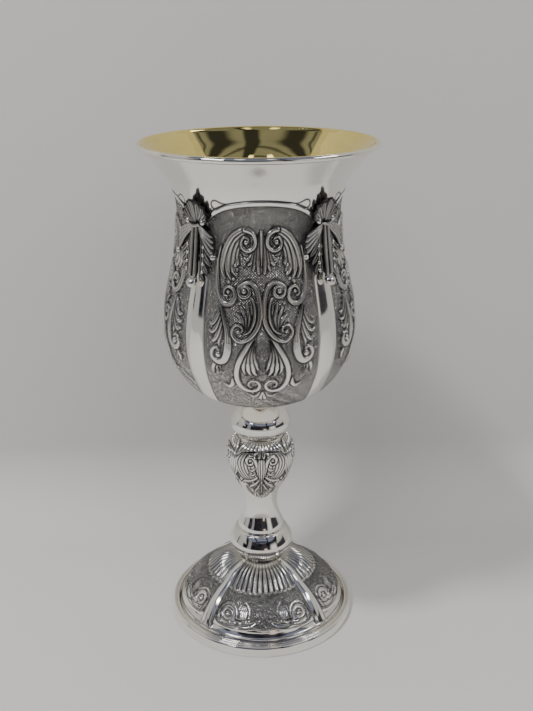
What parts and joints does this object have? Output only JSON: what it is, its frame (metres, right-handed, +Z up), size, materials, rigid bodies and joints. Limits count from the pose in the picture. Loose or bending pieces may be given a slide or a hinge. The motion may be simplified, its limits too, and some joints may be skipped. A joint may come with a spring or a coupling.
{
  "type": "ciborium vessel",
  "caption": "Tall chased ciborium bowl on a knopped baluster stem and a domed foot, with a flared rim, lobed panels, applied leaf mounts and a gilt inner cup.",
  "frame": {"origin": "centre of the base, at table height", "axes": "+Z up along the axis of the vessel, -Y through the middle of one chased panel, leaf mounts on the diagonals"},
  "size_m": [0.1142, 0.1142, 0.254],
  "materials": {
    "polished_silver": "mirror polished silver plate with fine wiping marks",
    "chased_silver": "chased silver plate, bright on the ridges and oxidised in the recesses",
    "cast_silver": "cast leaf ornament, oxidised, with polished high points",
    "gilt": "pale yellow polished gilding",
    "hardware": "plain turned brass"
  },
  "bodies": {
    "root": {"bowl_shell": "chased_silver", "bowl_liner": "gilt", "rim_wire": "polished_silver", "acanthus_mount_1": "cast_silver", "acanthus_mount_2": "cast_silver", "acanthus_mount_3": "cast_silver", "acanthus_mount_4": "cast_silver", "neck_collar": "polished_silver", "upper_ball": "polished_silver", "baluster": "chased_silver", "lower_ball": "polished_silver", "foot_dome": "chased_silver", "foot_ring": "polished_silver", "bowl_boss": "hardware", "tie_rod": "hardware", "foot_washer": "hardware", "foot_nut": "hardware"}
  },
  "joints": []
}
